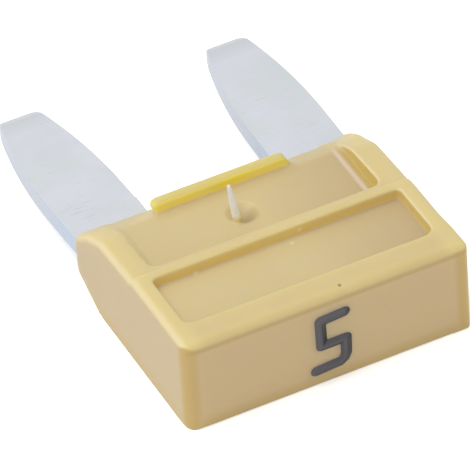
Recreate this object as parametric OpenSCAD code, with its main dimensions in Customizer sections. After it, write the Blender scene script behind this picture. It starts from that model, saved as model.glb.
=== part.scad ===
// Mini blade fuse, tan 5 A size: a moulded plastic housing over one stamped zinc element.
// It lies on its underside: X is its width, +Y points to the blade tips, +Z is up.
// The origin is under the middle of the whole fuse.

/* [Housing] */
// Width of the housing
body_w = 10.9; // [10:0.1:14]
// Length of the housing, head end to blade end
body_l = 8.85; // [8.4:0.05:12]
// Thickness at the head
body_t = 3.85; // [3.6:0.05:5]
// Length of the thicker head
head_l = 4.2; // [3.6:0.1:4.8]
// Drop from the head to the lower body
head_step = 0.1; // [0.02:0.01:0.3]
// Extra drop of the lower body's top by the start of its bevel
low_draft = 0.15; // [0:0.01:0.3]
// Radius of the head's upright corners
corner_r = 0.25; // [0.1:0.05:1]
// Radius of the upright corners at the blade end
end_corner_r = 0.15; // [0.05:0.05:0.5]
// Radius of the long top edges
edge_r = 0.26; // [0.06:0.02:0.5]
// Radius of the front top edge
front_r = 0.34; // [0.1:0.02:0.5]

/* [Bevels at the blade end] */
// Length of the top bevel
top_bevel_l = 2.1; // [1.5:0.05:2.5]
// How far the middle of the top bevel stands out over its straight line
bevel_bulge = 0.17; // [0.05:0.01:0.25]
// Length of the underside bevel
under_bevel_l = 1.75; // [1:0.05:2.4]
// Radius that blends the top bevel into the lower body's top
top_blend_r = 1.2; // [0.3:0.1:2]
// Radius in the middle of the top bevel
bulge_r = 2; // [0.5:0.5:3]
// Radius that blends the underside bevel into the underside
under_blend_r = 0.8; // [0.3:0.1:2]
// Radius of the top edge of the end face
end_top_r = 0.15; // [0.05:0.01:0.2]
// Radius of the lower edge of the end face
end_under_r = 0.5; // [0.1:0.05:0.7]

/* [Recesses] */
// Front rim ahead of the head pocket
front_rim = 1.15; // [0.7:0.05:1.6]
// Side rim beside the head pocket
side_rim = 0.67; // [0.5:0.01:1]
// Distance from the head pocket's rear side to the end of the head
rear_rim = 0.36; // [0.2:0.02:0.5]
// Width of the rib between the head pocket and the lower recess
mid_rib = 0.64; // [0.5:0.02:1]
// Depth of the head pocket, in the top and in the underside
pocket_d = 0.47; // [0.2:0.01:0.7]
// Radius of the pocket's front corners
pocket_front_r = 0.4; // [0.1:0.05:0.8]
// Radius of the pocket's rear corners
pocket_rear_r = 0.22; // [0.05:0.01:0.5]
// Side rib beside the lower recess
side_rib = 1; // [0.8:0.05:1.4]
// Radius of the lower recess's front corners
recess_r = 0.35; // [0.1:0.05:0.8]
// Depth of the lower recess in the top, measured from the head
recess_d = 0.85; // [0.4:0.01:1]
// Depth of the lower recess in the underside
under_recess_d = 0.6; // [0.3:0.01:0.7]
// Length of the slope from the recess floor down to the blade end
floor_slope_l = 1.15; // [0.8:0.05:1.4]
// Radius between the recess floor and that slope
floor_blend_r = 0.4; // [0.1:0.1:1]
// Depth of the lower recess at the blade end
recess_end_d = 0.05; // [0.02:0.01:0.08]
// Width of the ledge along each side of the lower recess
ledge_w = 0.3; // [0.15:0.01:0.5]
// Height of that ledge over the floor
ledge_h = 0.07; // [0.03:0.01:0.15]

/* [Catch lips, gate dish and sliver] */
// Length of a catch lip, across the fuse
lip_l = 5.24; // [3:0.02:7]
// Width of a catch lip
lip_w = 0.44; // [0.3:0.02:0.8]
// Height of a catch lip over the recess floor
lip_h = 0.43; // [0.2:0.01:0.55]
// Distance from a lip's back to the blade end
lip_back = 0.65; // [0.4:0.05:1.1]
// Radius of the lip's long edges
lip_edge_r = 0.12; // [0.05:0.01:0.15]
// Radius of the lip's ends
lip_end_r = 0.25; // [0.1:0.05:0.4]
// Radius of the gate dish
dish_r = 0.6; // [0.3:0.05:0.9]
// Depth of the gate dish
dish_d = 0.26; // [0.05:0.01:0.3]
// Distance from the gate dish to the blade end
dish_back = 2.55; // [2.1:0.05:3]
// Height of the sliver of plastic left at the gate, over the recess floor
sliver_h = 1.6; // [0.3:0.05:2.5]
// Diameter of the sliver at its foot
sliver_d = 0.32; // [0.15:0.01:0.5]
// Diameter of the sliver's torn tip
sliver_tip_d = 0.14; // [0.06:0.01:0.2]

/* [Fuse element] */
// Length of a blade outside the housing
blade_l = 7.3; // [6:0.05:10]
// Width of a blade
blade_w = 2.8; // [2.2:0.05:3.2]
// Thickness of the blades
blade_t = 0.8; // [0.6:0.05:1]
// Height of the blades' middle over the underside
blade_h = 1.76; // [1.66:0.02:1.9]
// Set-back of a blade's outer edge from the side of the housing
blade_inset = 0.12; // [0.05:0.01:0.3]
// Length over which a blade tapers to its tip
taper_l = 5.3; // [3:0.05:5.7]
// Radius of a blade's two tapering edges
taper_r = 20.5; // [16:0.5:40]
// Radius of the blade tip's corners
tip_r = 0.25; // [0.1:0.05:0.6]
// Length of the coined chamfer at a tip
tip_chamfer_l = 0.4; // [0.1:0.05:0.8]
// Depth of the coined chamfer on each face
tip_chamfer_d = 0.2; // [0.05:0.01:0.25]
// Angle that the left blade leans outwards
left_lean = 2.5; // [0:0.1:3]
// Angle that the right blade leans outwards
right_lean = 0.7; // [0:0.1:3]
// Thickness of the fusible link
link_t = 0.25; // [0.1:0.01:0.4]
// Width of the fusible link
link_w = 0.45; // [0.3:0.05:0.7]
// Radius of the link's two bends, at mid-width
link_r = 0.55; // [0.4:0.05:0.7]
// Distance between the centres of the link's two bends, across the fuse
link_bends = 1.8; // [1:0.1:2.2]
// Distance from the head end to the first run of the link
link_y = 2.6; // [2.4:0.1:3.4]

/* [Core slot] */
// Plastic between the head end and the core slot
slot_end_wall = 0.95; // [0.6:0.05:1.8]
// Plastic on each side of the core slot
slot_side_wall = 0.6; // [0.4:0.05:1]
// Plastic over the slot at the blade end
slot_over = 0.14; // [0.1:0.01:0.3]
// Plastic under the slot at the blade end
slot_under = 0.45; // [0.2:0.01:0.5]
// Clearance of the element in its slot, on each side
fit = 0.05; // [0.02:0.01:0.1]

/* [Hidden] */
arc_steps = 8;
over = 1;

half_w = body_w / 2;
overall_l = body_l + blade_l;
slot_h = blade_t + 2 * fit;
slot_z = blade_h - slot_h / 2;

low_top_z = body_t - head_step;
bevel_y = body_l - top_bevel_l;
bevel_z = low_top_z - low_draft;
end_top_z = slot_z + slot_h + slot_over;
end_under_z = slot_z - slot_under;
bulge_at = [body_l - top_bevel_l / 2, (bevel_z + end_top_z) / 2 + bevel_bulge];

pocket_rear_y = head_l - rear_rim;
recess_y = pocket_rear_y + mid_rib;
floor_z = body_t - recess_d;
floor_end_z = end_top_z - recess_end_d;
under_floor_end_z = end_under_z + recess_end_d;
lip_rear_y = body_l - lip_back;
lip_sunk = 0.1;
dish_at = [-0.1, body_l - dish_back];
dish_ball_r = (dish_r * dish_r + dish_d * dish_d) / (2 * dish_d);
sliver_off = [-0.3, -0.35];
sliver_lean = [-6.5, -6.5, 0];

blade_outer_x = half_w - blade_inset;
blade_x = blade_outer_x - blade_w / 2;
blade_inner_x = blade_outer_x - blade_w;
shank_y = slot_end_wall + fit;
shank_w = half_w - slot_side_wall - fit - blade_inner_x;

housing_tan = [0.86, 0.78, 0.57];
zinc_grey = [0.83, 0.85, 0.88];

// Points of an arc about c, from angle a0 to angle a1.
function arc(c, r, a0, a1) =
    [for (i = [0:arc_steps]) let (a = a0 + (a1 - a0) * i / arc_steps) c + r * [cos(a), sin(a)]];

function unit(v) = v / norm(v);
function angle_of(v) = atan2(v[1], v[0]);
function turned_to(a, target) = target - 360 * round((target - a) / 360);

// The corner p between its neighbours a and b, rounded to radius r.
function round_corner(a, p, b, r) =
    let (u = unit(a - p), v = unit(b - p), half = acos(u * v) / 2)
    let (c = p + unit(u + v) * r / sin(half))
    let (start = angle_of(p + u * r / tan(half) - c), end = angle_of(p + v * r / tan(half) - c))
    arc(c, r, start, turned_to(start, end));

// An outline from corners [x, y, radius]. A radius of 0 keeps the corner sharp.
function rounded(corners) =
    let (n = len(corners), at = function(i) [corners[(i + n) % n][0], corners[(i + n) % n][1]])
    [for (i = [0:n - 1]) each (corners[i][2] > 0
        ? round_corner(at(i - 1), at(i), at(i + 1), corners[i][2])
        : [at(i)])];

// Stands an outline drawn in Y and Z up as a bar across X.
module across(width) {
    translate([-width / 2, 0, 0]) rotate([90, 0, 90]) linear_extrude(height = width) children();
}

// Lays an outline drawn in X and Z along Y, from y0 to y1.
module along(y0, y1) {
    translate([0, y1, 0]) rotate([90, 0, 0]) linear_extrude(height = y1 - y0) children();
}

module both_sides() {
    for (m = [0, 1]) mirror([m, 0, 0]) children();
}

// Moves the fuse from its head end to its middle.
module centred() {
    translate([0, -overall_l / 2, 0]) children();
}

// The housing seen from its side, with its head step and both end bevels.
module side_outline() {
    polygon(rounded([
        [0, 0, 0],
        [body_l - under_bevel_l, 0, under_blend_r],
        [body_l, end_under_z, end_under_r],
        [body_l, end_top_z, end_top_r],
        [bulge_at[0], bulge_at[1], bulge_r],
        [bevel_y, bevel_z, top_blend_r],
        [head_l, low_top_z, 0],
        [head_l, body_t, 0],
        [0, body_t, front_r]
    ]));
}

// The housing seen from above.
module plan_outline() {
    polygon(rounded([
        [-half_w, 0, corner_r],
        [half_w, 0, corner_r],
        [half_w, body_l, end_corner_r],
        [-half_w, body_l, end_corner_r]
    ]));
}

// What is cut off to round the long top edges from p to q, given as [y, z].
module edge_waste(p, q, before, after) {
    run = norm(q - p);
    both_sides() translate([0, p[0], p[1]]) rotate([angle_of(q - p), 0, 0])
        along(-before, run + after) difference() {
            translate([half_w - edge_r, -edge_r]) square(edge_r + over);
            translate([half_w - edge_r, -edge_r]) circle(r = edge_r, $fn = 48);
        }
}

// The moulded block before its recesses.
module block() {
    difference() {
        intersection() {
            across(body_w + 2 * over) side_outline();
            linear_extrude(height = body_t + over) plan_outline();
        }
        edge_waste([0, body_t], [head_l, body_t], over, 0);
        edge_waste([head_l, low_top_z], [bevel_y, bevel_z], 0, over);
        edge_waste([bevel_y, bevel_z], bulge_at, edge_r, over);
        edge_waste(bulge_at, [body_l, end_top_z], edge_r, over);
    }
}

// The head pocket, upwards from its floor at height z.
module head_pocket(z) {
    half = half_w - side_rim;
    translate([0, 0, z]) linear_extrude(height = body_t) polygon(rounded([
        [-half, front_rim, pocket_front_r],
        [half, front_rim, pocket_front_r],
        [half, pocket_rear_y, pocket_rear_r],
        [-half, pocket_rear_y, pocket_rear_r]
    ]));
}

// Height at distance y of a recess floor that lies at z and slopes to end_z at the blade end.
function floor_at(y, z, end_z) =
    z + (end_z - z) * max(0, y - body_l + floor_slope_l) / floor_slope_l;

// One level of the lower recess, upwards from its floor and open at the blade end.
module recess_level(half, z, end_z) {
    intersection() {
        translate([0, 0, z - body_t]) linear_extrude(height = 2 * body_t) polygon(rounded([
            [-half, recess_y, recess_r],
            [half, recess_y, recess_r],
            [half, body_l + over, 0],
            [-half, body_l + over, 0]
        ]));
        across(body_w) polygon(rounded([
            [0, z, 0],
            [body_l - floor_slope_l, z, floor_blend_r],
            [body_l + over, floor_at(body_l + over, z, end_z), 0],
            [body_l + over, z + body_t, 0],
            [0, z + body_t, 0]
        ]));
    }
}

// The lower recess: a ledge along each side, and the floor between them.
module lower_recess(z, end_z) {
    half = half_w - side_rib;
    recess_level(half, z + ledge_h, end_z + ledge_h);
    recess_level(half - ledge_w, z, end_z);
}

// A catch lip on that floor, rounded along its top and at its ends.
module catch_lip(z, end_z) {
    z0 = floor_at(lip_rear_y, z, end_z) - lip_sunk;
    z1 = z + lip_h;
    intersection() {
        across(lip_l) polygon(rounded([
            [lip_rear_y - lip_w, z0, 0],
            [lip_rear_y, z0, 0],
            [lip_rear_y, z1, lip_edge_r],
            [lip_rear_y - lip_w, z1, lip_edge_r]
        ]));
        along(lip_rear_y - lip_w - over, lip_rear_y + over) polygon(rounded([
            [-lip_l / 2, z0 - over, 0],
            [lip_l / 2, z0 - over, 0],
            [lip_l / 2, z1, lip_end_r],
            [-lip_l / 2, z1, lip_end_r]
        ]));
    }
}

// The shallow dish round the gate in the recess floor.
module gate_dish() {
    translate([dish_at[0], dish_at[1], floor_z - dish_d + dish_ball_r]) sphere(r = dish_ball_r, $fn = 64);
}

// The thin sliver of plastic that stayed on when the gate broke off, torn thin in its upper half.
module gate_sliver() {
    height = dish_d + sliver_h;
    translate([dish_at[0] + sliver_off[0], dish_at[1] + sliver_off[1], floor_z - dish_d])
        rotate(sliver_lean) rotate_extrude($fn = 24) polygon([
            [0, 0],
            [sliver_d / 2, 0],
            [sliver_d * 0.46, height / 2],
            [sliver_tip_d / 2, height],
            [0, height]
        ]);
}

// The slot that the element slides into, with room for the link between its shanks.
module core_slot() {
    half = half_w - slot_side_wall;
    translate([-half, slot_end_wall, slot_z]) cube([2 * half, body_l, slot_h]);
}

module housing() {
    color(housing_tan) centred() difference() {
        union() {
            difference() {
                block();
                head_pocket(body_t - pocket_d);
                mirror([0, 0, 1]) head_pocket(-pocket_d);
                lower_recess(floor_z, floor_end_z);
                mirror([0, 0, 1]) lower_recess(-under_recess_d, -under_floor_end_z);
                gate_dish();
            }
            catch_lip(floor_z, floor_end_z);
            mirror([0, 0, 1]) catch_lip(-under_recess_d, -under_floor_end_z);
            gate_sliver();
        }
        core_slot();
    }
}

// One edge of a blade, from the housing to the middle of the tip.
function blade_edge() =
    let (lean = asin((taper_l - tip_r) / (taper_r - tip_r)), turn_x = blade_w / 2 - taper_r)
    concat(
        [[blade_w / 2, body_l]],
        arc([turn_x, overall_l - taper_l], taper_r, 0, lean),
        arc([turn_x + (taper_r - tip_r) * cos(lean), overall_l - tip_r], tip_r, lean, 90)
    );

// A blade with its shoulder on the end face, leaning outwards, and its shank up inside the housing.
module blade_outline(lean) {
    edge = blade_edge();
    last = len(edge) - 1;
    upright = concat(edge, [for (i = [last:-1:0]) [-edge[i][0], edge[i][1]]]);
    translate([blade_x, 0]) polygon([for (p = upright) [p[0] + tan(lean) * (p[1] - body_l), p[1]]]);
    translate([blade_inner_x, shank_y]) square([shank_w, body_l + over - shank_y]);
}

// The blades seen from their side, with the coined chamfer at the tips.
module blade_side() {
    half = blade_t / 2;
    polygon([
        [shank_y, -half],
        [overall_l - tip_chamfer_l, -half],
        [overall_l, tip_chamfer_d - half],
        [overall_l, half - tip_chamfer_d],
        [overall_l - tip_chamfer_l, half],
        [shank_y, half]
    ]);
}

// Half of one bend of the link, open towards -X.
module link_bend() {
    intersection() {
        difference() {
            circle(r = link_r + link_w / 2, $fn = 64);
            circle(r = link_r - link_w / 2, $fn = 64);
        }
        translate([0, -link_r - link_w]) square(2 * (link_r + link_w));
    }
}

// One straight run of the link, from x0 to x1 at distance y from the head end.
module link_run(x0, x1, y) {
    translate([x0, y - link_w / 2]) square([x1 - x0, link_w]);
}

// The S-shaped fusible link between the two shanks.
module link_outline() {
    bend_x = link_bends / 2;
    root_x = blade_inner_x + link_w / 2;
    link_run(-root_x, bend_x, link_y);
    translate([bend_x, link_y + link_r]) link_bend();
    link_run(-bend_x, bend_x, link_y + 2 * link_r);
    translate([-bend_x, link_y + 3 * link_r]) mirror([1, 0]) link_bend();
    link_run(-bend_x, root_x, link_y + 4 * link_r);
}

module fuse_element() {
    color(zinc_grey) centred() translate([0, 0, blade_h]) {
        intersection() {
            translate([0, 0, -blade_t]) linear_extrude(height = 2 * blade_t) {
                blade_outline(right_lean);
                mirror([1, 0]) blade_outline(left_lean);
            }
            across(body_w + 2 * over) blade_side();
        }
        translate([0, 0, -link_t / 2]) linear_extrude(height = link_t) link_outline();
    }
}

housing();
fuse_element();
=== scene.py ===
import math

import bmesh
import bpy
from mathutils import Matrix, Vector


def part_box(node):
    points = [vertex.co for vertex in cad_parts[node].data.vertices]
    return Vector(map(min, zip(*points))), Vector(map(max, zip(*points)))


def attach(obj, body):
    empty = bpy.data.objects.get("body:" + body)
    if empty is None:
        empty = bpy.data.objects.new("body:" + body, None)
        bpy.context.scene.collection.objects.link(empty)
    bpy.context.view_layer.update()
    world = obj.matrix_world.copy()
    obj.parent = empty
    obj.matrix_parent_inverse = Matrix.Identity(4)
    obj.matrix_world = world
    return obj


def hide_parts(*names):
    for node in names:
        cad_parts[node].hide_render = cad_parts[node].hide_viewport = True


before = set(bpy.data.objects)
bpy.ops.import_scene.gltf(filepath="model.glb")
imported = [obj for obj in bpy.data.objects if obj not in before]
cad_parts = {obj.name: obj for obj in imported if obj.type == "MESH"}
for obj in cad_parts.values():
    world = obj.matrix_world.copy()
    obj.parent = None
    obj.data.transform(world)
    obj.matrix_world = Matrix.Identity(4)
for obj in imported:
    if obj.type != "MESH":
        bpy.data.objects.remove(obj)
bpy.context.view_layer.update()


def mm(value):
    return value * 0.001


def hexColour(text):
    # sRGB hex to the linear colour that the shaders use
    parts = [int(text[i:i + 2], 16) / 255 for i in (1, 3, 5)]
    return [c / 12.92 if c <= 0.04045 else ((c + 0.055) / 1.055) ** 2.4 for c in parts] + [1.0]


def addNode(tree, kind, links=None, **settings):
    # links: input name or number -> socket that feeds it, or the value that it holds
    node = tree.nodes.new(kind)
    for name, value in settings.items():
        setattr(node, name, value)
    for key, value in (links or {}).items():
        if isinstance(value, bpy.types.NodeSocket):
            tree.links.new(value, node.inputs[key])
        else:
            node.inputs[key].default_value = value
    return node


def newMaterial(name):
    material = bpy.data.materials.new(name)
    material.use_nodes = True
    material.node_tree.nodes.clear()
    return material, material.node_tree


# Camera
# The photograph's view: from the head end's left, well above, with a long lens.
shot = {
    "placeMm": (-70.365, -158.785, 149.608), "turnDegrees": (49.292, 3.126, -26.696), "lens": 497.87,
    "sensor": 36, "nearest": 0.01, "farthest": 10,
}
camera = bpy.data.objects.new("shotCamera", bpy.data.cameras.new("shotCamera"))
bpy.context.scene.collection.objects.link(camera)
camera.location = [mm(v) for v in shot["placeMm"]]
camera.rotation_euler = [math.radians(v) for v in shot["turnDegrees"]]
camera.data.lens = shot["lens"]
camera.data.sensor_width = shot["sensor"]
camera.data.clip_start = shot["nearest"]
camera.data.clip_end = shot["farthest"]
bpy.context.scene.camera = camera
bpy.context.scene.view_settings.view_transform = "Standard"
print("camera set")


# Materials
# Where the moulding's features lie, in millimetres: X across, Y along, Z up, as in the part's frame. Where a
# name holds two lengths, a mask changes from the first to the second.
moulding = {
    "side": 5.45, "headEnd": -8.075, "top": 3.85, "rim": 0.42, "recessStart": -3.2, "ledge": 4.17,
    # Where the top's height starts and stops falling along Y, and by how much, and the underside's rise.
    "topFalls": [
        (-3.875, -3.865, 0.1), (-3.875, -1.325, 0.15), (-1.325, -0.275, 0.455), (-0.275, 0.775, 0.795)],
    "underRise": (-0.975, 0.775, 0.9), "sunkDepth": (0.06, 0.3),
    "lipMiddle": -0.095, "lipHalf": 0.22, "lipEnd": 2.62, "lipFoot": 2.98, "lipShift": -0.16,
    "lipFade": 0.12, "lipEndFade": 0.1,
    "slideLine": 3.5, "slideLineWidth": (0.02, 0.14), "slideLineDepth": (0.1, 0.25),
    "dish": (-0.1, -1.775, 3.0), "dishReach": 0.72,
    "sliverFoot": (-0.4, -2.125, 2.74), "sliverTip": (-0.61, -1.914, 4.58), "sliverReach": 0.26,
    "sliverFade": 0.06, "sliverTorn": (0.34, 0.6),
}
# Painted amber glow and shade of light coming round the outer edges: how far it reaches, and how strongly at
# the upright and at the lower ones.
edgeGlow = {"bandMm": 0.6, "upright": 1.5, "lower": 0.7}


def sunkenMask(tree, axes):
    # 0 on the rims and the outer faces, 1 well below them, on the floors and walls of pockets and recesses.
    top = mm(moulding["top"])
    for start, stop, fall in moulding["topFalls"]:
        drop = addNode(tree, "ShaderNodeMapRange", {
            "Value": axes["Y"], "From Min": mm(start), "From Max": mm(stop), "To Min": 0.0,
            "To Max": mm(fall)}).outputs[0]
        top = addNode(tree, "ShaderNodeMath", {0: top, 1: drop}, operation="SUBTRACT").outputs[0]
    start, stop, rise = moulding["underRise"]
    under = addNode(tree, "ShaderNodeMapRange", {
        "Value": axes["Y"], "From Min": mm(start), "From Max": mm(stop), "To Min": 0.0,
        "To Max": mm(rise)}).outputs[0]
    depth = addNode(tree, "ShaderNodeMath", {0: top, 1: axes["Z"]}, operation="SUBTRACT").outputs[0]
    height = addNode(tree, "ShaderNodeMath", {0: axes["Z"], 1: under}, operation="SUBTRACT").outputs[0]
    sunk = addNode(tree, "ShaderNodeMath", {0: depth, 1: height}, operation="MINIMUM").outputs[0]
    start, full = moulding["sunkDepth"]
    sunk = addNode(tree, "ShaderNodeMapRange", {
        "Value": sunk, "From Min": mm(start), "From Max": mm(full)}).outputs[0]
    rim = moulding["rim"]
    aside = addNode(tree, "ShaderNodeMath", {0: axes["X"]}, operation="ABSOLUTE").outputs[0]
    aside = addNode(tree, "ShaderNodeMapRange", {
        "Value": aside, "From Min": mm(moulding["side"] - rim), "From Max": mm(moulding["side"] - rim / 2),
        "To Min": 1.0, "To Max": 0.0}).outputs[0]
    ahead = addNode(tree, "ShaderNodeMapRange", {
        "Value": axes["Y"], "From Min": mm(moulding["headEnd"] + rim / 2),
        "From Max": mm(moulding["headEnd"] + rim)}).outputs[0]
    inside = addNode(tree, "ShaderNodeMath", {0: aside, 1: ahead}, operation="MULTIPLY").outputs[0]
    return addNode(tree, "ShaderNodeMath", {0: sunk, 1: inside}, operation="MULTIPLY").outputs[0]


def lipMask(tree, axes):
    # 1 on the thin catch lip, which light comes through.
    middle = addNode(tree, "ShaderNodeMath", {0: axes["Y"], 1: mm(moulding["lipMiddle"])},
                     operation="SUBTRACT").outputs[0]
    middle = addNode(tree, "ShaderNodeMath", {0: middle}, operation="ABSOLUTE").outputs[0]
    near = addNode(tree, "ShaderNodeMapRange", {
        "Value": middle, "From Min": mm(moulding["lipHalf"]),
        "From Max": mm(moulding["lipHalf"] + moulding["lipFade"]), "To Min": 1.0, "To Max": 0.0}).outputs[0]
    aside = addNode(tree, "ShaderNodeMath", {0: axes["X"], 1: mm(moulding["lipShift"])},
                    operation="SUBTRACT").outputs[0]
    aside = addNode(tree, "ShaderNodeMath", {0: aside}, operation="ABSOLUTE").outputs[0]
    fade = moulding["lipEndFade"]
    along = addNode(tree, "ShaderNodeMapRange", {
        "Value": aside, "From Min": mm(moulding["lipEnd"]), "From Max": mm(moulding["lipEnd"] + fade),
        "To Min": 1.0, "To Max": 0.0}).outputs[0]
    above = addNode(tree, "ShaderNodeMapRange", {
        "Value": axes["Z"], "From Min": mm(moulding["lipFoot"] - fade),
        "From Max": mm(moulding["lipFoot"] + fade)}).outputs[0]
    both = addNode(tree, "ShaderNodeMath", {0: near, 1: along}, operation="MULTIPLY").outputs[0]
    return addNode(tree, "ShaderNodeMath", {0: both, 1: above}, operation="MULTIPLY").outputs[0]


def sliverMask(tree, place):
    # 1 on the sliver at the gate, whose plastic was stretched white as it tore.
    foot = Vector(moulding["sliverFoot"])
    run = Vector(moulding["sliverTip"]) - foot
    turn = run.to_track_quat("Z", "Y").to_euler()
    own = addNode(tree, "ShaderNodeMapping", {
        "Vector": place, "Location": [mm(v) for v in foot], "Rotation": turn}, vector_type="TEXTURE")
    own = addNode(tree, "ShaderNodeSeparateXYZ", {0: own.outputs[0]}).outputs
    flat = addNode(tree, "ShaderNodeCombineXYZ", {"X": own["X"], "Y": own["Y"]}).outputs[0]
    away = addNode(tree, "ShaderNodeVectorMath", {0: flat}, operation="LENGTH").outputs["Value"]
    near = addNode(tree, "ShaderNodeMapRange", {
        "Value": away, "From Min": mm(moulding["sliverReach"] - moulding["sliverFade"]),
        "From Max": mm(moulding["sliverReach"]), "To Min": 1.0, "To Max": 0.0}).outputs[0]
    start, full = moulding["sliverTorn"]
    above = addNode(tree, "ShaderNodeMapRange", {
        "Value": own["Z"], "From Min": mm(start), "From Max": mm(full)}).outputs[0]
    return addNode(tree, "ShaderNodeMath", {0: near, 1: above}, operation="MULTIPLY").outputs[0]


def spotMask(tree, place, centre, core, reach):
    # 1 within the core radius round a spot, falling to 0 at its reach, in millimetres.
    away = addNode(tree, "ShaderNodeVectorMath", {0: place, 1: [mm(v) for v in centre]},
                   operation="DISTANCE").outputs["Value"]
    near = addNode(tree, "ShaderNodeMapRange", {
        "Value": away, "From Min": mm(core), "From Max": mm(reach), "To Min": 1.0, "To Max": 0.0})
    return near.outputs[0]


def edgeGlowMask(tree, axes):
    # 1 near the outer edges, where a painted amber glow and shade stands for light coming round them: the
    # upright corners and the underside's edges.
    band = edgeGlow["bandMm"]
    aside = addNode(tree, "ShaderNodeMath", {0: axes["X"]}, operation="ABSOLUTE").outputs[0]
    side = addNode(tree, "ShaderNodeMapRange", {
        "Value": aside, "From Min": mm(moulding["side"] - band), "From Max": mm(moulding["side"]),
        "To Max": edgeGlow["upright"]}).outputs[0]
    head = addNode(tree, "ShaderNodeMapRange", {
        "Value": axes["Y"], "From Min": mm(moulding["headEnd"]), "From Max": mm(moulding["headEnd"] + band),
        "To Min": edgeGlow["upright"], "To Max": 0.0}).outputs[0]
    under = addNode(tree, "ShaderNodeMapRange", {
        "Value": axes["Z"], "From Min": 0.0, "From Max": mm(band), "To Min": edgeGlow["lower"],
        "To Max": 0.0}).outputs[0]
    corner = addNode(tree, "ShaderNodeMath", {0: side, 1: head}, operation="MULTIPLY").outputs[0]
    outer = addNode(tree, "ShaderNodeMath", {0: side, 1: head}, operation="MAXIMUM").outputs[0]
    low = addNode(tree, "ShaderNodeMath", {0: under, 1: outer}, operation="MULTIPLY").outputs[0]
    both = addNode(tree, "ShaderNodeMath", {0: corner, 1: low}, operation="MAXIMUM", use_clamp=True)
    return both.outputs[0]


def slideLineShadeMask(tree, axes):
    # 1 along the witness line where the head end's slide met the mould, which is painted darker as painted
    # shade under its small step.
    off = addNode(tree, "ShaderNodeMath", {0: axes["Z"], 1: mm(moulding["slideLine"])},
                  operation="SUBTRACT").outputs[0]
    off = addNode(tree, "ShaderNodeMath", {0: off}, operation="ABSOLUTE").outputs[0]
    start, stop = moulding["slideLineWidth"]
    line = addNode(tree, "ShaderNodeMapRange", {
        "Value": off, "From Min": mm(start), "From Max": mm(stop), "To Min": 1.0, "To Max": 0.0}).outputs[0]
    start, stop = moulding["slideLineDepth"]
    ahead = addNode(tree, "ShaderNodeMapRange", {
        "Value": axes["Y"], "From Min": mm(moulding["headEnd"] + start),
        "From Max": mm(moulding["headEnd"] + stop), "To Min": 1.0, "To Max": 0.0}).outputs[0]
    return addNode(tree, "ShaderNodeMath", {0: line, 1: ahead}, operation="MULTIPLY").outputs[0]


def painted(tree, colour, layers):
    # Each layer is a list of masks that all have to hold, the colour laid on there, and how well it covers.
    for masks, over, cover in layers:
        share = cover
        for mask in masks:
            share = addNode(tree, "ShaderNodeMath", {0: share, 1: mask}, operation="MULTIPLY").outputs[0]
        laid = addNode(tree, "ShaderNodeMix", {"Factor": share, "A": colour, "B": hexColour(over)},
                       data_type="RGBA")
        colour = laid.outputs["Result"]
    return colour


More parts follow.
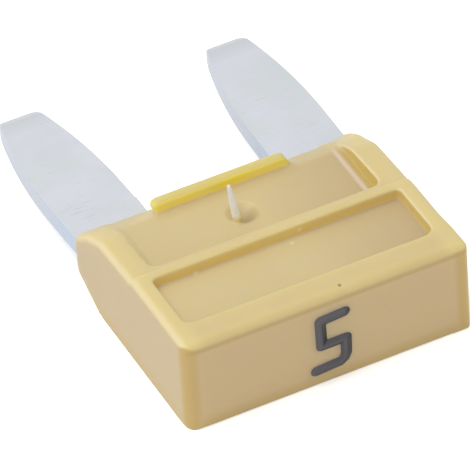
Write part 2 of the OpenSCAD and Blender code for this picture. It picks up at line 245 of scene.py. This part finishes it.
def tanNylon():
    # Nylon, injection moulded and unfilled: satin skin with milky depth. The rims are polished and yellower,
    # the floors are spark-eroded, flatter and greyer, and walls, edges and the lip are painted amber: a
    # painted glow of light coming through.
    look = {
        "rim": "#d8c28c", "rimPale": "#decb94", "sideRim": "#e0cd92", "outer": "#dac090",
        "sideFaceShade": "#d2bb8f", "edge": "#cfb064", "witnessShade": "#c4a768", "highlight": "#eddcbc",
        "floor": "#d7c390", "floorPale": "#dcc997", "floorShadeRight": "#cab488", "underLipShade": "#c0a678",
        "ledge": "#dfcbb8", "besideLedgeShade": "#cdb15a", "wallGlow": "#e2cc7a", "dish": "#a8935c",
        "lipTop": "#dac882", "lipFrontGlow": "#f2de78", "lipGlow": "#f0dc50", "torn": "#ffffff",
        "darkSpeck": "#6e5a3c", "paleSpeck": "#f0e4b8",
        "grainMm": 0.12, "cloudMm": 2.6, "gloss": (0.4, 0.54), "relief": 0.12, "reliefMm": 0.02,
        "milk": 0.75, "milkReach": (0.95, 0.9, 0.28), "depthMm": 0.8,
    }
    # In millimetres. Where a name holds two lengths, a mask changes from the first to the second.
    where = {
        "besideRim": (4.5, 4.9), "shadeToRight": (0.5, 4.6), "recessFade": 0.1, "ahead": (-0.6, -0.15),
        "shadePastLedge": (0.05, 0.16), "onLedgeHighlight": (0.03, 0.11), "shadeBelowLip": (-0.85, -0.35), "besideLip": 0.3,
        "glowMiddle": 0.3, "glow": (0.35, 0.95), "dishFade": 0.1, "shade": (-0.02, -1.93, 2.9),
        "shadeCore": 0.12, "shadeReach": 0.58,
    }
    # By the normal: a face is level where its upward part is 1, and upright where it is 0.
    tilt = {"steep": (0.45, 0.85), "upright": (0.1, 0.5), "upLeft": (-0.7, 0.0, 0.7), "lit": (0.8, 0.98)}
    # Specks of dirt and dust: the middle, the core radius and the reach in millimetres, colour and cover.
    specks = [
        ((0.657, -7.769, 3.85), 0.03, 0.08, "darkSpeck", 0.8),
        ((-3.13, -4.23, 3.38), 0.05, 0.14, "paleSpeck", 0.6),
        ((0.48, -4.5, 3.38), 0.03, 0.1, "paleSpeck", 0.6),
        ((0.92, -4.26, 3.6), 0.03, 0.12, "paleSpeck", 0.6),
    ]
    material, tree = newMaterial("tanMouldedNylon")
    coords = addNode(tree, "ShaderNodeTexCoord").outputs
    place = coords["Object"]
    axes = addNode(tree, "ShaderNodeSeparateXYZ", {0: place}).outputs
    facing = addNode(tree, "ShaderNodeSeparateXYZ", {0: coords["Normal"]}).outputs
    cloudy = addNode(tree, "ShaderNodeTexNoise", {
        "Vector": place, "Scale": 1 / mm(look["cloudMm"]), "Detail": 3}).outputs["Fac"]
    grain = addNode(tree, "ShaderNodeTexNoise", {
        "Vector": place, "Scale": 1 / mm(look["grainMm"]), "Detail": 2}).outputs["Fac"]
    sunken = sunkenMask(tree, axes)
    raised = addNode(tree, "ShaderNodeMath", {0: 1.0, 1: sunken}, operation="SUBTRACT").outputs[0]
    level = addNode(tree, "ShaderNodeMath", {0: facing["Z"]}, operation="ABSOLUTE").outputs[0]
    steep = addNode(tree, "ShaderNodeMapRange", {
        "Value": level, "From Min": tilt["steep"][0], "From Max": tilt["steep"][1], "To Min": 1.0,
        "To Max": 0.0}).outputs[0]
    upright = addNode(tree, "ShaderNodeMapRange", {
        "Value": level, "From Min": tilt["upright"][0], "From Max": tilt["upright"][1], "To Min": 1.0,
        "To Max": 0.0}).outputs[0]
    upLeft = addNode(tree, "ShaderNodeVectorMath", {0: coords["Normal"], 1: tilt["upLeft"]},
                     operation="DOT_PRODUCT").outputs["Value"]
    lit = addNode(tree, "ShaderNodeMapRange", {
        "Value": upLeft, "From Min": tilt["lit"][0], "From Max": tilt["lit"][1]}).outputs[0]
    sideways = addNode(tree, "ShaderNodeMath", {0: facing["X"]}, operation="ABSOLUTE").outputs[0]
    aside = addNode(tree, "ShaderNodeMath", {0: axes["X"]}, operation="ABSOLUTE").outputs[0]
    besideRim = addNode(tree, "ShaderNodeMapRange", {
        "Value": aside, "From Min": mm(where["besideRim"][0]),
        "From Max": mm(where["besideRim"][1])}).outputs[0]
    # Painted shade mask: 0 towards the middle, 1 towards the right side.
    shadeToRight = addNode(tree, "ShaderNodeMapRange", {
        "Value": axes["X"], "From Min": mm(where["shadeToRight"][0]),
        "From Max": mm(where["shadeToRight"][1])}).outputs[0]
    inRecess = addNode(tree, "ShaderNodeMapRange", {
        "Value": axes["Y"], "From Min": mm(moulding["recessStart"] - where["recessFade"]),
        "From Max": mm(moulding["recessStart"] + where["recessFade"])}).outputs[0]
    ahead = addNode(tree, "ShaderNodeMapRange", {
        "Value": axes["Y"], "From Min": mm(where["ahead"][0]), "From Max": mm(where["ahead"][1]),
        "To Min": 1.0, "To Max": 0.0}).outputs[0]
    offLedge = addNode(tree, "ShaderNodeMath", {0: axes["X"], 1: mm(moulding["ledge"])},
                       operation="SUBTRACT").outputs[0]
    shadePastLedge = addNode(tree, "ShaderNodeMapRange", {
        "Value": offLedge, "From Min": mm(where["shadePastLedge"][0]),
        "From Max": mm(where["shadePastLedge"][1])}).outputs[0]
    offLedge = addNode(tree, "ShaderNodeMath", {0: offLedge}, operation="ABSOLUTE").outputs[0]
    onLedgeHighlight = addNode(tree, "ShaderNodeMapRange", {
        "Value": offLedge, "From Min": mm(where["onLedgeHighlight"][0]), "From Max": mm(where["onLedgeHighlight"][1]),
        "To Min": 1.0, "To Max": 0.0}).outputs[0]
    # Painted shade mask for the floor just under the lip.
    shadeBelowLip = addNode(tree, "ShaderNodeMapRange", {
        "Value": axes["Y"], "From Min": mm(where["shadeBelowLip"][0]),
        "From Max": mm(where["shadeBelowLip"][1])}).outputs[0]
    amongLip = addNode(tree, "ShaderNodeMapRange", {
        "Value": aside, "From Min": mm(moulding["lipEnd"]),
        "From Max": mm(moulding["lipEnd"] + where["besideLip"]), "To Min": 1.0, "To Max": 0.0}).outputs[0]
    lip = lipMask(tree, axes)
    glow = addNode(tree, "ShaderNodeMath", {0: axes["X"], 1: mm(where["glowMiddle"])},
                   operation="SUBTRACT").outputs[0]
    glow = addNode(tree, "ShaderNodeMath", {0: glow}, operation="ABSOLUTE").outputs[0]
    glow = addNode(tree, "ShaderNodeMapRange", {
        "Value": glow, "From Min": mm(where["glow"][0]), "From Max": mm(where["glow"][1]), "To Min": 1.0,
        "To Max": 0.0}).outputs[0]
    inDish = spotMask(tree, place, moulding["dish"], moulding["dishReach"],
                      moulding["dishReach"] + where["dishFade"])
    outOfDish = addNode(tree, "ShaderNodeMath", {0: 1.0, 1: inDish}, operation="SUBTRACT").outputs[0]
    dishShade = spotMask(tree, place, where["shade"], where["shadeCore"], where["shadeReach"])
    colour = painted(tree, hexColour(look["rim"]), [
        ([cloudy], look["rimPale"], 1.0),
        ([besideRim], look["sideRim"], 1.0),
        ([upright], look["outer"], 1.0),
        # Painted shade: the sideways faces are painted darker than the other upright faces.
        ([upright, sideways], look["sideFaceShade"], 1.0),
        # Painted amber glow and shade along the outer edges.
        ([upright, edgeGlowMask(tree, axes)], look["edge"], 0.7),
        # The witness line, darkened with painted shade under its step.
        ([slideLineShadeMask(tree, axes)], look["witnessShade"], 0.6),
        ([sunken], look["floor"], 1.0),
        ([sunken, cloudy], look["floorPale"], 1.0),
        # Painted shade: the floors are painted darker towards the right.
        ([sunken, shadeToRight], look["floorShadeRight"], 1.0),
        # Painted shade on the floor under the lip.
        ([sunken, shadeBelowLip, amongLip], look["underLipShade"], 0.4),
        # Painted shade on the band just past the ledge, where the rib's wall lies in shade.
        ([sunken, inRecess, ahead, shadePastLedge], look["besideLedgeShade"], 0.75),
        # Painted highlight: a thin pale line along the ledge.
        ([sunken, inRecess, ahead, onLedgeHighlight], look["ledge"], 0.85),
        # Painted glow: the walls of pockets and recesses are painted amber, as light coming through them.
        ([sunken, steep, outOfDish], look["wallGlow"], 0.9),
        # Painted shade in the dish, with the sliver's painted shadow beside its foot.
        ([dishShade], look["dish"], 0.65),
        ([raised, lit], look["highlight"], 0.6),
        ([lip], look["lipTop"], 1.0),
        # Painted glow: the lip's upright faces are painted bright yellow, most in the middle, as light coming
        # through the thin lip.
        ([lip, steep], look["lipFrontGlow"], 1.0),
        ([lip, steep, glow], look["lipGlow"], 0.7),
        ([sliverMask(tree, place)], look["torn"], 1.0),
    ])
    for middle, core, reach, name, cover in specks:
        colour = painted(tree, colour, [([spotMask(tree, place, middle, core, reach)], look[name], cover)])
    gloss = addNode(tree, "ShaderNodeMapRange", {
        "Value": grain, "To Min": look["gloss"][0], "To Max": look["gloss"][1]}).outputs["Result"]
    bump = addNode(tree, "ShaderNodeBump", {
        "Height": grain, "Strength": look["relief"], "Distance": mm(look["reliefMm"])}).outputs["Normal"]
    skin = addNode(tree, "ShaderNodeBsdfPrincipled", {
        "Base Color": colour, "Roughness": gloss, "Normal": bump, "IOR": 1.5,
        "Subsurface Weight": look["milk"], "Subsurface Radius": look["milkReach"],
        "Subsurface Scale": mm(look["depthMm"])})
    addNode(tree, "ShaderNodeOutputMaterial", {"Surface": skin.outputs["BSDF"]})
    return material


def rolledZinc():
    # Zinc alloy strip, cold rolled, blanked and coined: pale, matt and faintly clouded in lilac and
    # green-grey, with handling scratches. The sheared edges are rougher, with a painted highlight on the
    # upper arris near the root and painted shade on the faces turned down, and the coined tips are darker.
    look = {
        "metal": "#d5d6de", "cloud": "#cfd4d4", "wornAndLit": "#c4c8cf", "scratched": "#9fa5ab",
        "sheared": "#bcc0c9", "shearedRoot": "#b2bfd0", "arrisHighlight": "#eef4fa", "under": "#8b919a",
        "tip": "#b8bcc0",
        "scratchMm": 0.09, "stretch": 10, "scratchDegrees": -24, "scratchFrom": (0.56, 0.7),
        "cloudMm": 1.3, "cloudFrom": (0.35, 0.65), "patchMm": 2.2,
        "gloss": (0.4, 0.58), "relief": 0.08, "reliefMm": 0.01, "metallic": 0.85,
    }
    # In millimetres. Where a name holds two lengths, a mask changes from the first to the second.
    where = {
        "scraped": (-4.3, 2.2, 2.3), "scrapedCore": 0.3, "scrapedReach": 1.1, "root": (1.6, 3.4),
        "tip": (6.9, 7.9),
    }
    # By the normal's upward part.
    tilt = {"upright": (0.2, 0.6), "arrisMiddle": 0.6, "arrisHighlight": (0.1, 0.3), "below": (-0.4, -0.03)}
    material, tree = newMaterial("rolledZincStrip")
    coords = addNode(tree, "ShaderNodeTexCoord").outputs
    place = coords["Object"]
    axes = addNode(tree, "ShaderNodeSeparateXYZ", {0: place}).outputs
    facing = addNode(tree, "ShaderNodeSeparateXYZ", {0: coords["Normal"]}).outputs
    patches = addNode(tree, "ShaderNodeTexNoise", {
        "Vector": place, "Scale": 1 / mm(look["patchMm"]), "Detail": 4}).outputs["Fac"]
    clouds = addNode(tree, "ShaderNodeTexNoise", {
        "Vector": place, "Scale": 1 / mm(look["cloudMm"]), "Detail": 5}).outputs["Fac"]
    clouds = addNode(tree, "ShaderNodeMapRange", {
        "Value": clouds, "From Min": look["cloudFrom"][0], "From Max": look["cloudFrom"][1]}).outputs[0]
    along = addNode(tree, "ShaderNodeMapping", {
        "Vector": place, "Rotation": (0, 0, math.radians(look["scratchDegrees"])),
        "Scale": (1, look["stretch"], look["stretch"])}).outputs["Vector"]
    lines = addNode(tree, "ShaderNodeTexNoise", {
        "Vector": along, "Scale": 1 / mm(look["scratchMm"] * look["stretch"]), "Detail": 3}).outputs["Fac"]
    scratches = addNode(tree, "ShaderNodeMapRange", {
        "Value": lines, "From Min": look["scratchFrom"][0], "From Max": look["scratchFrom"][1]}).outputs[0]
    scraped = spotMask(tree, place, where["scraped"], where["scrapedCore"], where["scrapedReach"])
    level = addNode(tree, "ShaderNodeMath", {0: facing["Z"]}, operation="ABSOLUTE").outputs[0]
    upright = addNode(tree, "ShaderNodeMapRange", {
        "Value": level, "From Min": tilt["upright"][0], "From Max": tilt["upright"][1], "To Min": 1.0,
        "To Max": 0.0}).outputs[0]
    arrisHighlight = addNode(tree, "ShaderNodeMath", {0: facing["Z"], 1: tilt["arrisMiddle"]},
                    operation="SUBTRACT").outputs[0]
    arrisHighlight = addNode(tree, "ShaderNodeMath", {0: arrisHighlight}, operation="ABSOLUTE").outputs[0]
    arrisHighlight = addNode(tree, "ShaderNodeMapRange", {
        "Value": arrisHighlight, "From Min": tilt["arrisHighlight"][0], "From Max": tilt["arrisHighlight"][1], "To Min": 1.0,
        "To Max": 0.0}).outputs[0]
    atRoot = addNode(tree, "ShaderNodeMapRange", {
        "Value": axes["Y"], "From Min": mm(where["root"][0]), "From Max": mm(where["root"][1]), "To Min": 1.0,
        "To Max": 0.0}).outputs[0]
    # Painted shade mask: 1 on the faces turned down.
    below = addNode(tree, "ShaderNodeMapRange", {
        "Value": facing["Z"], "From Min": tilt["below"][0], "From Max": tilt["below"][1], "To Min": 1.0,
        "To Max": 0.0}).outputs[0]
    atTip = addNode(tree, "ShaderNodeMapRange", {
        "Value": axes["Y"], "From Min": mm(where["tip"][0]), "From Max": mm(where["tip"][1])}).outputs[0]
    colour = painted(tree, hexColour(look["metal"]), [
        ([clouds], look["cloud"], 1.0),
        ([patches], look["wornAndLit"], 0.7),
        ([scratches], look["scratched"], 0.1),
        ([scratches, scraped], look["scratched"], 0.3),
        ([atTip], look["tip"], 0.5),
        ([upright], look["sheared"], 1.0),
        ([upright, atRoot], look["shearedRoot"], 0.7),
        # Painted highlight on the upper arris near the root.
        ([arrisHighlight, atRoot], look["arrisHighlight"], 0.9),
        # Painted shade on the faces turned down.
        ([below], look["under"], 0.8),
    ])
    gloss = addNode(tree, "ShaderNodeMapRange", {
        "Value": lines, "To Min": look["gloss"][0], "To Max": look["gloss"][1]}).outputs["Result"]
    bump = addNode(tree, "ShaderNodeBump", {
        "Height": lines, "Strength": look["relief"], "Distance": mm(look["reliefMm"])}).outputs["Normal"]
    skin = addNode(tree, "ShaderNodeBsdfPrincipled", {
        "Base Color": colour, "Roughness": gloss, "Normal": bump, "Metallic": look["metallic"]})
    addNode(tree, "ShaderNodeOutputMaterial", {"Surface": skin.outputs["BSDF"]})
    return material


def darkInk():
    # Dark grey marking ink on a raised figure, satin; its upper left flanks are painted greyer, a painted
    # highlight, and its lower right ones nearly black, painted shade.
    look = {
        "ink": "#424146", "mottled": "#525156", "thin": "#64646a", "shadedFlank": "#0e0d10", "speckMm": 0.15,
        "gloss": 0.5, "relief": 0.2, "reliefMm": 0.02,
    }
    # By the normal's part towards the lower right.
    tilt = {"downRight": (0.8, 0.0, -0.6), "shadedFlank": (0.0, 0.2), "wornAndLit": (-0.5, -0.1)}
    material, tree = newMaterial("darkMarkingInk")
    coords = addNode(tree, "ShaderNodeTexCoord").outputs
    specks = addNode(tree, "ShaderNodeTexNoise", {
        "Vector": coords["Object"], "Scale": 1 / mm(look["speckMm"]), "Detail": 3}).outputs["Fac"]
    downRight = addNode(tree, "ShaderNodeVectorMath", {0: coords["Normal"], 1: tilt["downRight"]},
                        operation="DOT_PRODUCT").outputs["Value"]
    shadedFlank = addNode(tree, "ShaderNodeMapRange", {
        "Value": downRight, "From Min": tilt["shadedFlank"][0], "From Max": tilt["shadedFlank"][1]}).outputs[0]
    wornAndLit = addNode(tree, "ShaderNodeMapRange", {
        "Value": downRight, "From Min": tilt["wornAndLit"][0], "From Max": tilt["wornAndLit"][1], "To Min": 1.0,
        "To Max": 0.0}).outputs[0]
    colour = painted(tree, hexColour(look["ink"]), [
        ([specks], look["mottled"], 1.0),
        # Painted highlight: the upper left flanks are painted greyer.
        ([wornAndLit], look["thin"], 0.5),
        # Painted shade: the lower right flanks are painted nearly black.
        ([shadedFlank], look["shadedFlank"], 1.0),
    ])
    bump = addNode(tree, "ShaderNodeBump", {
        "Height": specks, "Strength": look["relief"], "Distance": mm(look["reliefMm"])}).outputs["Normal"]
    skin = addNode(tree, "ShaderNodeBsdfPrincipled", {
        "Base Color": colour, "Roughness": look["gloss"], "Normal": bump})
    addNode(tree, "ShaderNodeOutputMaterial", {"Surface": skin.outputs["BSDF"]})
    return material


nylon = tanNylon()
zinc = rolledZinc()
ink = darkInk()
print("materials made")


# Pieces
def finished(name, mesh, material):
    # A smooth piece in one material, which rides on the part's only body.
    mesh.shade_smooth()
    mesh.materials.clear()
    mesh.materials.append(material)
    piece = bpy.data.objects.new(name, mesh)
    bpy.context.scene.collection.objects.link(piece)
    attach(piece, "root")
    return piece


def softened(form, name, soften, moved=None, eased=None):
    # Closes the form into one skin on a fine grid, then lets its crisp edges relax, as a moulding's are not
    # crisp. moved gives where a spot goes first, and eased how far it relaxes, from 0 to 1.
    rough = bpy.data.meshes.new(name + "Rough")
    form.to_mesh(rough)
    form.free()
    holder = bpy.data.objects.new(name + "Rough", rough)
    bpy.context.scene.collection.objects.link(holder)
    skin = holder.modifiers.new("skin", "REMESH")
    skin.mode = "VOXEL"
    skin.voxel_size = mm(soften["gridMm"])
    close = bpy.data.meshes.new_from_object(holder.evaluated_get(bpy.context.evaluated_depsgraph_get()))
    holder.modifiers.clear()
    holder.data = close
    relax = holder.modifiers.new("relax", "SMOOTH")
    relax.factor = soften["pull"]
    relax.iterations = soften["rounds"]
    if moved:
        for vertex in close.vertices:
            vertex.co = moved(vertex.co)
    if eased:
        relaxing = holder.vertex_groups.new(name="relaxing")
        for vertex in close.vertices:
            relaxing.add([vertex.index], eased(vertex.co), "REPLACE")
        relax.vertex_group = "relaxing"
    thin = holder.modifiers.new("thin", "DECIMATE")
    thin.ratio = soften["keep"]
    mesh = bpy.data.meshes.new_from_object(holder.evaluated_get(bpy.context.evaluated_depsgraph_get()))
    mesh.name = name
    bpy.data.objects.remove(holder)
    bpy.data.meshes.remove(rough)
    bpy.data.meshes.remove(close)
    return mesh


weldMm = 0.001


def mergedCopy(node):
    # The node's own form to work on, with the corners that its faces share made one.
    form = bmesh.new()
    form.from_mesh(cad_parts[node].data)
    bmesh.ops.remove_doubles(form, verts=form.verts, dist=mm(weldMm))
    return form


mouldedEdges = {
    "gridMm": 0.05, "rounds": 28, "pull": 0.5, "keep": 0.3,
    # How far edges relax: the sliver's least, the near right corner's little, and most at the lips, the step
    # and the near left corner.
    "sliver": 0.13, "keen": 0.25, "plain": 0.65, "round": 1.0,
    "sliverAboveMm": 0.4, "cornerMm": 0.7, "lipAroundMm": 0.15,
    "stepFromMm": -4.1, "stepToMm": -3.65, "stepAboveMm": 3.6,
    # How far places move, and where along X and Y that starts and is full, in millimetres.
    "cornerRadiusMm": 0.48,
    "sideOutMm": 0.06, "sideOutAcross": (4.6, 5.2), "sideOutAlong": (-5.9, -7.1),
    "ribRiseMm": 0.15, "ribRiseAcross": (4.9, 5.3), "ribRiseAlong": (-0.6, 0.4), "ribRiseAboveMm": 2.2,
}


def onLip(point):
    # Whether a spot is on the top's catch lip, or just beside it.
    around = mouldedEdges["lipAroundMm"]
    if point.z < mm(moulding["lipFoot"]) or abs(point.x) > mm(moulding["lipEnd"] + around):
        return False
    return abs(point.y - mm(moulding["lipMiddle"])) < mm(moulding["lipHalf"] + around)


def smoothRise(value, ends):
    # 0 at the first end and 1 at the second, both in millimetres, with a smooth rise between them.
    share = min(1, max(0, (value - mm(ends[0])) / mm(ends[1] - ends[0])))
    return share * share * (3 - 2 * share)


def mouldedPlace(point):
    # The photo's fuse has its top lip a little off the middle, its near left corner well rounded, its near
    # right corner slightly further out, and the right rib's blade end standing a little proud.
    if onLip(point):
        return point + Vector((mm(moulding["lipShift"]), 0, 0))
    radius = mm(mouldedEdges["cornerRadiusMm"])
    centre = Vector((radius - mm(moulding["side"]), mm(moulding["headEnd"]) + radius))
    off = point.xy - centre
    if off.x < 0 and off.y < 0 and off.length > radius:
        kept = centre + off.normalized() * radius
        return Vector((kept.x, kept.y, point.z))
    out = mouldedEdges["sideOutMm"] * smoothRise(point.x, mouldedEdges["sideOutAcross"])
    out = out * smoothRise(point.y, mouldedEdges["sideOutAlong"])
    rise = 0
    if point.z > mm(mouldedEdges["ribRiseAboveMm"]):
        rise = mouldedEdges["ribRiseMm"] * smoothRise(point.x, mouldedEdges["ribRiseAcross"])
        rise = rise * smoothRise(point.y, mouldedEdges["ribRiseAlong"])
    return point + Vector((mm(out), 0, mm(rise)))


def mouldedEasing(point):
    # How far a spot relaxes, by where it lies on the moulding.
    foot = Vector([mm(v) for v in moulding["sliverFoot"]])
    upwards = (Vector([mm(v) for v in moulding["sliverTip"]]) - foot).normalized()
    along = (point - foot).dot(upwards)
    away = (point - foot - upwards * along).length
    if away < mm(moulding["sliverReach"]) and along > mm(mouldedEdges["sliverAboveMm"]):
        return mouldedEdges["sliver"]
    corner = mm(mouldedEdges["cornerMm"])
    if point.x < corner - mm(moulding["side"]) and point.y < mm(moulding["headEnd"]) + corner:
        return mouldedEdges["round"]
    if point.x > mm(moulding["side"]) - corner and point.y < mm(moulding["headEnd"]) + corner:
        return mouldedEdges["keen"]
    onStep = mm(mouldedEdges["stepFromMm"]) < point.y < mm(mouldedEdges["stepToMm"])
    if onLip(point) or (onStep and point.z > mm(mouldedEdges["stepAboveMm"])):
        return mouldedEdges["round"]
    return mouldedEdges["plain"]


housingMesh = softened(mergedCopy("housing"), "housingMoulding", mouldedEdges, mouldedPlace, mouldedEasing)
housing = finished("housingMoulding", housingMesh, nylon)
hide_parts("housing")
print("housing made:", len(housing.data.polygons), "faces")

blankedEdges = {"roundMm": 0.06, "steps": 3, "sharpDegrees": 25, "flatDegrees": 0.2, "flatWeight": 50}


def blankedStrip():
    # The strip's own form with its sheared edges rounded, and flat faces that stay flat.
    form = mergedCopy("fuse_element")
    bmesh.ops.dissolve_limit(form, angle_limit=math.radians(blankedEdges["flatDegrees"]), verts=form.verts,
                             edges=form.edges)
    sharp = [e for e in form.edges if e.calc_face_angle(0) > math.radians(blankedEdges["sharpDegrees"])]
    bmesh.ops.bevel(form, geom=sharp, offset=mm(blankedEdges["roundMm"]), segments=blankedEdges["steps"],
                    profile=0.5, affect="EDGES", material=-1, clamp_overlap=True)
    mesh = bpy.data.meshes.new("stampedElement")
    form.to_mesh(mesh)
    form.free()
    return mesh


element = finished("stampedElement", blankedStrip(), zinc)
flats = element.modifiers.new("flats", "WEIGHTED_NORMAL")
flats.weight = blankedEdges["flatWeight"]
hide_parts("fuse_element")
print("element made:", len(element.data.polygons), "faces")

# Raised figure on the head end
figure = {
    # The stroke's path in millimetres across and up the face.
    "path": [
        (0.66, 2.88), (-0.28, 2.82), (-0.27, 1.7), (0.67, 1.7), (0.65, 1.0), (0.57, 0.82), (0.42, 0.72),
        (-0.53, 0.66)],
    "footMm": 0.54, "topMm": 0.12, "leanMm": (-0.07, 0.04), "standMm": 0.14, "sunkMm": 0.05, "sides": 32,
    "gridMm": 0.02, "rounds": 12, "pull": 0.5, "keep": 0.5,
}


def raisedFigure():
    # Each stroke is a bar with sloping flanks and round ends, standing on the head end's face.
    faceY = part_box("housing")[0].y
    deep = figure["standMm"] + figure["sunkMm"]
    slope = figure["topMm"] / figure["footMm"]
    form = bmesh.new()
    for x, z in figure["path"]:
        made = bmesh.ops.create_cone(
            form, cap_ends=True, segments=figure["sides"], radius1=mm(figure["footMm"] / 2),
            radius2=mm(figure["topMm"] / 2), depth=mm(deep))["verts"]
        bmesh.ops.rotate(form, verts=made, matrix=Matrix.Rotation(math.radians(90), 3, "X"))
        bmesh.ops.translate(form, verts=made, vec=(mm(x), 0, mm(z)))
    for (x0, z0), (x1, z1) in zip(figure["path"], figure["path"][1:]):
        run = Vector((x1 - x0, 0, z1 - z0))
        made = bmesh.ops.create_cube(form, size=1)["verts"]
        bmesh.ops.scale(form, verts=made, vec=(mm(run.length), mm(deep), mm(figure["footMm"])))
        outer = [v for v in made if v.co.y < 0]
        bmesh.ops.scale(form, verts=outer, vec=(1, 1, slope))
        bmesh.ops.rotate(form, verts=made, matrix=Matrix.Rotation(-math.atan2(run.z, run.x), 3, "Y"))
        bmesh.ops.translate(form, verts=made, vec=(mm((x0 + x1) / 2), 0, mm((z0 + z1) / 2)))
    # The strokes' crest lies nearer their upper left side, so the flank on the lower right is the wider one.
    crest = [v for v in form.verts if v.co.y < 0]
    bmesh.ops.translate(form, verts=crest, vec=(mm(figure["leanMm"][0]), 0, mm(figure["leanMm"][1])))
    bmesh.ops.translate(form, verts=form.verts, vec=(0, faceY + mm(figure["sunkMm"] - deep / 2), 0))
    return softened(form, "raisedFigure", figure)


five = finished("raisedFigure", raisedFigure(), ink)
print("figure made:", len(five.data.polygons), "faces")


# Floor, light and background
def lookedAt(tree):
    # 1 where the camera sees it, straight, mirrored or through something.
    ray = addNode(tree, "ShaderNodeLightPath").outputs
    seen = addNode(tree, "ShaderNodeMath", {0: ray["Is Camera Ray"], 1: ray["Is Glossy Ray"]},
                   operation="MAXIMUM").outputs[0]
    seen = addNode(tree, "ShaderNodeMath", {0: seen, 1: ray["Is Transmission Ray"]}, operation="MAXIMUM")
    return seen.outputs[0]


def paleFloor():
    # White paper that takes a soft shadow, lifted to white where the camera sees it.
    look = {"colour": "#f2f2f2", "lift": 0.5, "sizeMm": 900}
    form = bmesh.new()
    bmesh.ops.create_grid(form, x_segments=1, y_segments=1, size=mm(look["sizeMm"]) / 2)
    mesh = bpy.data.meshes.new("paleFloor")
    form.to_mesh(mesh)
    form.free()
    floor = bpy.data.objects.new("paleFloor", mesh)
    bpy.context.scene.collection.objects.link(floor)
    material, tree = newMaterial("paleFloorPaper")
    paper = addNode(tree, "ShaderNodeBsdfDiffuse", {"Color": hexColour(look["colour"])})
    lift = addNode(tree, "ShaderNodeEmission", {"Color": (1, 1, 1, 1), "Strength": look["lift"]})
    both = addNode(tree, "ShaderNodeAddShader", {0: paper.outputs[0], 1: lift.outputs[0]})
    chosen = addNode(tree, "ShaderNodeMixShader", {
        0: lookedAt(tree), 1: paper.outputs[0], 2: both.outputs[0]})
    addNode(tree, "ShaderNodeOutputMaterial", {"Surface": chosen.outputs[0]})
    floor.data.materials.append(material)


def softbox(name, settings):
    # A round lamp aimed at the middle of the frame.
    lamp = bpy.data.lights.new(name, "AREA")
    lamp.shape = "DISK"
    lamp.size = mm(settings["sizeMm"])
    lamp.energy = settings["watts"]
    holder = bpy.data.objects.new(name, lamp)
    bpy.context.scene.collection.objects.link(holder)
    holder.location = [mm(v) for v in settings["placeMm"]]
    holder.rotation_euler = (-holder.location).to_track_quat("-Z", "Y").to_euler()


def paleWorld(strength):
    # The room lights the object at the given strength, and looks white itself.
    world = bpy.data.worlds.new("paleRoom")
    bpy.context.scene.world = world
    world.use_nodes = True
    tree = world.node_tree
    tree.nodes.clear()
    room = addNode(tree, "ShaderNodeBackground", {"Color": (1, 1, 1, 1), "Strength": strength})
    white = addNode(tree, "ShaderNodeBackground", {"Color": (1, 1, 1, 1), "Strength": 1.0})
    chosen = addNode(tree, "ShaderNodeMixShader", {
        0: lookedAt(tree), 1: room.outputs[0], 2: white.outputs[0]})
    addNode(tree, "ShaderNodeOutputWorld", {"Surface": chosen.outputs[0]})


light = {
    "room": 0.46,
    "key": {"placeMm": (-80, 20, 210), "sizeMm": 120, "watts": 0.26},
    "fill": {"placeMm": (-20, -240, 100), "sizeMm": 160, "watts": 0.055},
}
paleFloor()
paleWorld(light["room"])
softbox("keySoftbox", light["key"])
softbox("fillSoftbox", light["fill"])
print("stage set")
